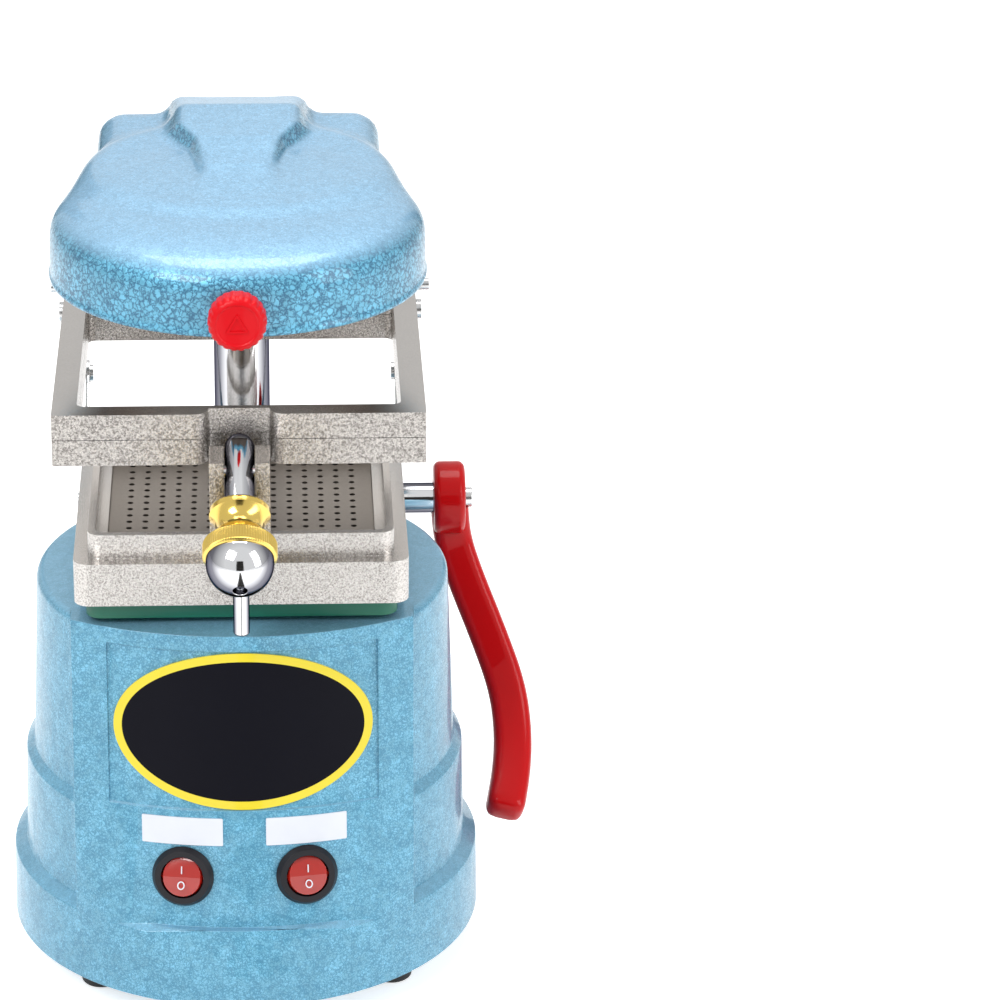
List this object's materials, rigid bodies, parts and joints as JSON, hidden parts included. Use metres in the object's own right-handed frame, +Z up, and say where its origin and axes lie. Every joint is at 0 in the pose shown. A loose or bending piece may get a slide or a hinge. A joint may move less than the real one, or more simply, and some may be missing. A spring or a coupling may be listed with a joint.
{
  "type": "dental vacuum former",
  "caption": "Bench-top dental vacuum former: hammered blue base and swinging heater head, clamping frames on a chrome column, perforated forming tray, red side lever.",
  "frame": {"origin": "on the floor, under the middle of the machine's outline, its cord left out", "axes": "+Z up, -Y to the front with the switches, +X to the side of the hand lever"},
  "size_m": [0.2037, 0.3519, 0.31],
  "materials": {
    "blue_enamel": "hammered gloss",
    "sheet_black": "satin",
    "foot_rubber": "matt",
    "screw_steel": "bright",
    "green_rubber": "satin",
    "nickel_casting": "sand-cast, nickel plated",
    "plate_steel": "satin",
    "column_chrome": "polished",
    "collar_steel": "turned",
    "black_steel": "blackened",
    "bush_bronze": "machined",
    "badge_black": "gloss",
    "badge_yellow": "gloss",
    "label_white": "satin",
    "plate_black": "satin",
    "switch_black": "gloss",
    "rocker_red": "translucent gloss",
    "fan_sheet": "drawn",
    "lamination_steel": "rolled",
    "cap_black": "moulded",
    "bearing_steel": "ground",
    "cradle_steel": "zinc plated",
    "seal_rubber": "matt",
    "terminal_cream": "moulded",
    "lead_black": "satin",
    "lever_red": "gloss",
    "linkage_steel": "satin",
    "nut_brass": "polished",
    "hub_casting": "cast",
    "pan_steel": "bright",
    "disc_ceramic": "fired",
    "wire_alloy": "oxidised",
    "knob_red": "gloss",
    "plug_black": "moulded",
    "pin_nickel": "bright"
  },
  "bodies": {
    "base": {"base_housing": "blue_enamel", "bottom_cover": "sheet_black", "rubber_feet": "foot_rubber", "cover_screws": "screw_steel", "tray_gasket": "green_rubber", "tray_body": "nickel_casting", "perforated_plate": "plate_steel", "tray_screws": "screw_steel", "guide_column": "column_chrome", "support_collar": "collar_steel", "column_set_screw": "black_steel", "shaft_bushes": "bush_bronze", "badge_plate": "badge_black", "badge_border": "badge_yellow", "switch_labels": "label_white", "rear_plate": "plate_black", "switch_bodies": "switch_black", "fan_case": "fan_sheet", "motor_stator": "lamination_steel", "motor_end_cap": "cap_black", "motor_bearings": "bearing_steel", "motor_cradle": "cradle_steel", "inlet_seal": "seal_rubber", "terminal_block": "terminal_cream", "heater_lead": "lead_black", "cord_gland": "lead_black", "mains_cord": "lead_black", "cord_coil": "lead_black", "mains_plug": "plug_black", "plug_pins": "pin_nickel"},
    "motor": {"motor_rotor": "lamination_steel", "fan_impeller": "fan_sheet"},
    "vacuum_switch": {"vacuum_rocker": "rocker_red"},
    "heater_switch": {"heater_rocker": "rocker_red"},
    "lever": {"cross_shaft": "column_chrome", "hand_lever": "lever_red", "shaft_end_screws": "screw_steel", "crank_plates": "linkage_steel", "knee_pins": "screw_steel"},
    "carriage": {"lower_frame": "nickel_casting", "link_screws": "screw_steel", "hinge_pins": "screw_steel", "frame_set_screw": "black_steel", "bolt_pivot_pin": "screw_steel", "guide_rod": "column_chrome"},
    "right_link": {"link_right": "linkage_steel"},
    "left_link": {"link_left": "linkage_steel"},
    "clamp_frame": {"upper_frame": "nickel_casting"},
    "clamp_bolt": {"swing_bolt": "column_chrome", "bolt_ball": "column_chrome"},
    "bolt_nut": {"clamp_nut": "nut_brass"},
    "head": {"heater_hood": "blue_enamel", "head_hub": "hub_casting", "hub_screws": "screw_steel", "reflector_pan": "pan_steel", "heater_disc": "disc_ceramic", "heating_wire": "wire_alloy", "pan_domes": "pan_steel", "head_knob": "knob_red"}
  },
  "joints": [
    {"name": "frame_slide", "type": "slide", "parent": "base", "child": "carriage", "axis": [0, 0, -1], "range_m": [0, 0.041]},
    {"name": "lever_turn", "type": "hinge", "parent": "base", "child": "lever", "pos_m": [-0.01184, 0.074, 0.1455], "axis": [-1, 0, 0], "range_deg": [0, 27.5]},
    {"name": "right_link_turn", "type": "hinge", "parent": "carriage", "child": "right_link", "pos_m": [0.05236, 0.07599, 0.2249], "axis": [1, 0, 0], "range_deg": [0, 21.5]},
    {"name": "left_link_turn", "type": "hinge", "parent": "carriage", "child": "left_link", "pos_m": [-0.07604, 0.07599, 0.2249], "axis": [1, 0, 0], "range_deg": [0, 21.5]},
    {"name": "clamp_frame_hinge", "type": "hinge", "parent": "carriage", "child": "clamp_frame", "pos_m": [-0.01184, 0.07799, 0.2346], "axis": [-1, 0, 0], "range_deg": [0, 10]},
    {"name": "bolt_swing", "type": "hinge", "parent": "carriage", "child": "clamp_bolt", "pos_m": [-0.01184, -0.07951, 0.2215], "axis": [-1, 0, 0], "range_deg": [0, 73]},
    {"name": "nut_turn", "type": "hinge", "parent": "clamp_bolt", "child": "bolt_nut", "pos_m": [-0.01184, -0.07951, 0.2215], "axis": [0, -0.8387, -0.5446], "continuous": true},
    {"name": "head_swing", "type": "hinge", "parent": "base", "child": "head", "pos_m": [-0.01184, 0.09299, 0.2725], "axis": [0, 0, 1], "range_deg": [-90, 90]},
    {"name": "motor_spin", "type": "hinge", "parent": "base", "child": "motor", "pos_m": [-0.01184, -0.008, 0.1], "axis": [0, 0, 1], "continuous": true},
    {"name": "vacuum_switch_rock", "type": "hinge", "parent": "base", "child": "vacuum_switch", "pos_m": [-0.03484, -0.08309, 0.0605], "axis": [0.9865, -0.1637, 0], "range_deg": [0, 20]},
    {"name": "heater_switch_rock", "type": "hinge", "parent": "base", "child": "heater_switch", "pos_m": [0.01116, -0.08309, 0.0605], "axis": [0.9865, 0.1637, 0], "range_deg": [0, 20]}
  ],
  "couplings": [
    {"joint": "lever_turn", "follows": "frame_slide", "rad_per_m": 11.308},
    {"joint": "right_link_turn", "follows": "frame_slide", "rad_per_m": 8.8478},
    {"joint": "left_link_turn", "follows": "frame_slide", "rad_per_m": 8.8478}
  ]
}
